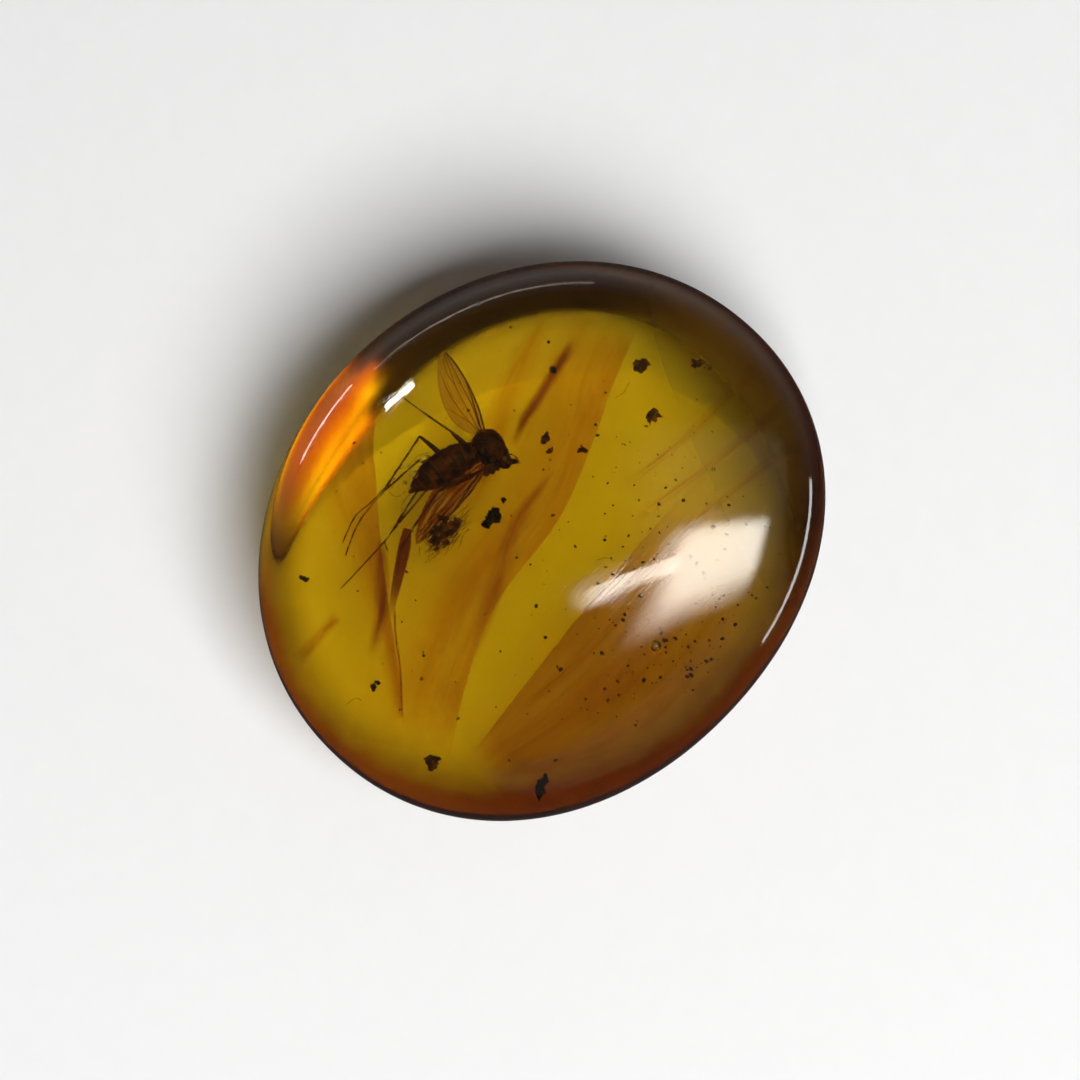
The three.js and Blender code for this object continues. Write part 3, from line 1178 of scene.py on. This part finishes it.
def make_tuft():
    """The matted scrap below the fly: a frayed bundle of short fibres round a soft core."""
    draw = random.Random(21)
    shape = Shape()
    centre = (-3.35, -0.02, 3.7)
    lay = along(-0.62, -0.78)
    cross = along(0.78, -0.62)

    def scatter(length, breadth, depth):
        off = lay * draw.gauss(0, length) + cross * draw.gauss(0, breadth) + UP * draw.gauss(0, depth)
        return spot(*centre) + off * MM

    for _ in range(26):
        add_crumb(shape, scatter(0.36, 0.2, 0.08), draw.uniform(0.1, 0.24), draw.randrange(999), 0.4, 0.6)
    for _ in range(240):
        root = scatter(0.42, 0.26, 0.1)
        direction = (lay + along(draw.gauss(0, 0.2), draw.gauss(0, 0.2), draw.gauss(0, 0.12))).normalized()
        if draw.random() < 0.3:
            direction = -direction
        bend = along(draw.gauss(0, 0.4), draw.gauss(0, 0.4), draw.gauss(0, 0.3))
        add_bristle(shape, root, direction, draw.uniform(0.2, 0.6), 0.014, bend)
    material = scrap_material("tuft_brown", (0.04, 0.015, 0.003), (0.17, 0.065, 0.014), 0.8)
    make_piece("matted_tuft", shape, material)


LARGER_SPECKS = (
    # (across, away, height, size)
    (-2.53, 4.25, 4.9, 0.07),
    (-3.3, 4.0, 4.6, 0.03),
    (-0.9, 4.3, 4.6, 0.05),
    (1.9, 1.9, 4.4, 0.05),
)


def make_specks():
    """Fine grit through the stone, thickest low on the right."""
    draw = random.Random(33)
    shape = Shape()
    for index, (across, away, height, size) in enumerate(LARGER_SPECKS):
        add_crumb(shape, spot(across, away, height), size, 500 + index)
    for _ in range(90):
        turn = draw.uniform(0, 2 * math.pi)
        reach = 8.0 * math.sqrt(draw.random())
        place = spot(reach * math.cos(turn), reach * math.sin(turn), draw.uniform(2.0, 6.4))
        add_crumb(shape, place, 0.022 + 0.06 * draw.random() ** 3, draw.randrange(9999))
    for _ in range(300):
        across = draw.gauss(4.4, 2.2)
        away = draw.gauss(-3.6, 2.4)
        if (across / 8.2) ** 2 + (away / 7.6) ** 2 > 1:
            continue
        place = spot(across, away, draw.uniform(4.6, 6.2))
        add_crumb(shape, place, 0.026 + 0.075 * draw.random() ** 3, draw.randrange(9999))
    material = scrap_material("speck_dark", (0.01, 0.007, 0.004), (0.05, 0.025, 0.01), 0.7)
    make_piece("specks", shape, material, smooth=False)


THREADS = (
    ((-4.6, 1.5, 4.5), (-4.85, 1.2, 4.5), (-5.1, 1.15, 4.5), (-5.3, 1.35, 4.5), (-5.15, 1.5, 4.55)),
    ((-4.5, 1.3, 4.4), (-4.8, 0.95, 4.4), (-4.85, 0.6, 4.4)),
    ((-3.9, 2.7, 4.8), (-4.3, 2.55, 4.9), (-4.6, 2.25, 4.8), (-4.95, 2.1, 4.7)),
    ((3.2, 5.4, 4.6), (3.0, 5.0, 4.6), (2.7, 4.8, 4.6)),
    ((-6.6, -6.0, 3.8), (-6.3, -5.8, 3.8), (-6.1, -5.9, 3.8)),
    ((2.0, -1.2, 4.6), (2.3, -1.1, 4.6), (2.6, -1.2, 4.6)),
)


def make_threads():
    """Hair-fine fibres: a few curls by the fly's tail and some loose threads."""
    shape = Shape()
    for points in THREADS:
        add_tube(shape, [spot(*p) for p in points], [0.009] * len(points), sides=5, steps=8)
    material = cuticle_material("thread", (0.09, 0.04, 0.012), (0.2, 0.1, 0.03))
    make_piece("threads", shape, material)


# ---------------------------------------------------------------- table, light and camera


TABLE_REACH = 0.5  # metres from the stone to the table's edges
TABLE_GAP = 0.00002  # and down to its top, so that the two don't share a plane


def make_table():
    mesh = bpy.data.meshes.new("table")
    corners = ((-1, -1), (1, -1), (1, 1), (-1, 1))
    points = [(x * TABLE_REACH, y * TABLE_REACH, -TABLE_GAP) for x, y in corners]
    mesh.from_pydata(points, [], [(0, 1, 2, 3)])
    n = new_material("table")
    weave = n.noise(n.place("Object"), 900.0, 3.0)
    pale = n.mix(weave, (0.735, 0.735, 0.735), (0.76, 0.76, 0.76))
    n.set(Base_Color=pale, Roughness=0.7, Specular_IOR_Level=0.2)
    mesh.materials.append(n.owner)
    table = bpy.data.objects.new("table", mesh)
    bpy.context.scene.collection.objects.link(table)
    table.visible_glossy = False  # the polish of the stone doesn't mirror it


def add_panel(name, angle, elevation, size, radiance, colour, roll=0.0, distance=0.5):
    """A flat softbox: `angle` is where it stands round the stone as the viewer sees it, counted
    from the right towards away, `size` is in metres and `radiance` is how bright its face looks."""
    turn, tilt = math.radians(angle), math.radians(elevation)
    level = math.cos(tilt)
    direction = along(math.cos(turn) * level, math.sin(turn) * level, math.sin(tilt))
    lamp = bpy.data.lights.new(name, "AREA")
    lamp.shape = "RECTANGLE"
    lamp.size, lamp.size_y = size
    lamp.color = colour
    lamp.energy = radiance * math.pi * size[0] * size[1]
    panel = bpy.data.objects.new(name, lamp)
    bpy.context.scene.collection.objects.link(panel)
    panel.location = UNDER_MIDDLE + direction * distance
    panel.rotation_mode = "QUATERNION"
    facing = (-direction).to_track_quat("-Z", "Y")
    panel.rotation_quaternion = facing @ Quaternion((0, 0, 1), math.radians(roll))
    return panel


def soften_edges(panel):
    """Dims a lit pane along its near side and at its ends."""
    n = Nodes(panel.data)
    u, v, _ = n.split(n.new("ShaderNodeNewGeometry").outputs["Parametric"])
    ends = n.math("MULTIPLY", n.step(u, 0.0, 0.22), n.step(u, 1.0, 0.78))
    sides = n.math("MULTIPLY", n.step(v, 0.0, 0.5), n.step(v, 1.0, 0.86))
    n.put(n.tree.nodes["Emission"].inputs["Strength"], n.math("MULTIPLY", sides, ends))


def fade_one_end(panel):
    """Dims a softbox towards its end on the far side of the stone."""
    n = Nodes(panel.data)
    u = n.split(n.new("ShaderNodeNewGeometry").outputs["Parametric"])[0]
    n.put(n.tree.nodes["Emission"].inputs["Strength"], n.step(u, 1.0, 0.4, 0.35, 1.0))


def hide_from(panel, *rays):
    for ray in rays:
        setattr(panel, "visible_" + ray, False)


WHITE = (1.0, 1.0, 1.0)
PANE_WHITE = (1.0, 0.96, 0.87)


def make_lights():
    """Three lamps that give light and eight that are only mirrored in the polish."""
    # The key lights the table.
    key = add_panel("key", -64, 50, (0.3, 0.3), 14.5, WHITE)
    hide_from(key, "glossy", "transmission")
    # The glow and the overhead lamp light what is seen through the stone.
    glow = add_panel("glow", -22, 46, (0.34, 0.75), 6.2, (1.0, 0.95, 0.88))
    fade_one_end(glow)
    hide_from(glow, "glossy", "diffuse")
    overhead = add_panel("overhead", -40, 74, (0.3, 0.3), 4.2, (1.0, 0.97, 0.92))
    hide_from(overhead, "glossy", "diffuse")
    # Two panes and a faint halo round them
    panes = (
        add_panel("wide_pane", 6, 61, (0.3, 0.15), 16.0, PANE_WHITE, roll=-98),
        add_panel("thin_pane", 30, 77, (0.13, 0.026), 16.0, PANE_WHITE, roll=-118),
        add_panel("halo", 16, 56, (0.5, 0.34), 0.4, (1.0, 0.88, 0.65), roll=-98),
    )
    for panel in panes:
        soften_edges(panel)
    # The small strip, the thin lines along the rim and a dim wall
    strips = (
        add_panel("strip", 123, 44, (0.045, 0.022), 36.0, (1.0, 0.97, 0.85)),
        add_panel("far_line", 106, 18, (0.34, 0.01), 4.0, (1.0, 0.9, 0.8)),
        add_panel("far_corner", 138, 9, (0.14, 0.02), 12.0, (1.0, 0.95, 0.9)),
        add_panel("near_line", -2, 3, (0.34, 0.05), 8.0, WHITE),
        add_panel("wall", -45, 34, (1.0, 0.55), 0.2, (1.0, 0.7, 0.6), distance=0.62),
    )
    for panel in panes + strips:
        hide_from(panel, "diffuse", "transmission")


def make_world():
    """A dim room: darkest overhead and behind the viewer, paler low down on the far side."""
    world = bpy.data.worlds.new("room")
    bpy.context.scene.world = world
    n = Nodes(world)
    background = n.tree.nodes["Background"]
    x, y, z = n.split(n.new("ShaderNodeTexCoord").outputs["Generated"])
    far = n.math("ADD", n.math("MULTIPLY", x, AWAY.x), n.math("MULTIPLY", y, AWAY.y))
    low = n.math("SUBTRACT", 1.0, n.math("MULTIPLY", n.math("ABSOLUTE", z), 2.2), clamp=True)
    glow = n.math("MULTIPLY", n.math("POWER", n.math("MAXIMUM", far, 0.0), 1.5), low)
    n.put(background.inputs["Strength"], n.math("ADD", 0.05, n.math("MULTIPLY", glow, 0.5)))
    background.inputs["Color"].default_value = (1, 1, 1, 1)


def make_camera():
    aim = UNDER_MIDDLE + UP * (HEIGHT / 2 * MM)
    toward = UP * math.sin(VIEW_ELEVATION) - AWAY * math.cos(VIEW_ELEVATION)
    lens = bpy.data.cameras.new("camera")
    lens.lens = LENS_LENGTH
    lens.clip_start = 0.01
    lens.clip_end = 10
    camera = bpy.data.objects.new("camera", lens)
    bpy.context.scene.collection.objects.link(camera)
    camera.location = aim + toward * VIEW_DISTANCE
    camera.rotation_mode = "QUATERNION"
    camera.rotation_quaternion = (-toward).to_track_quat("-Z", "Y")
    bpy.context.scene.camera = camera


def set_light_paths():
    """Plain colours, and bounces enough for light that crosses the stone, its bubbles and films."""
    scene = bpy.context.scene
    scene.view_settings.view_transform = "Standard"
    scene.cycles.max_bounces = 16
    scene.cycles.transmission_bounces = 16
    scene.cycles.transparent_max_bounces = 40


make_camera()
make_world()
make_lights()
make_table()
set_light_paths()
make_stone()
make_fly()
make_flow_layers()
make_smears()
make_all_scraps()
make_tuft()
make_specks()
make_threads()
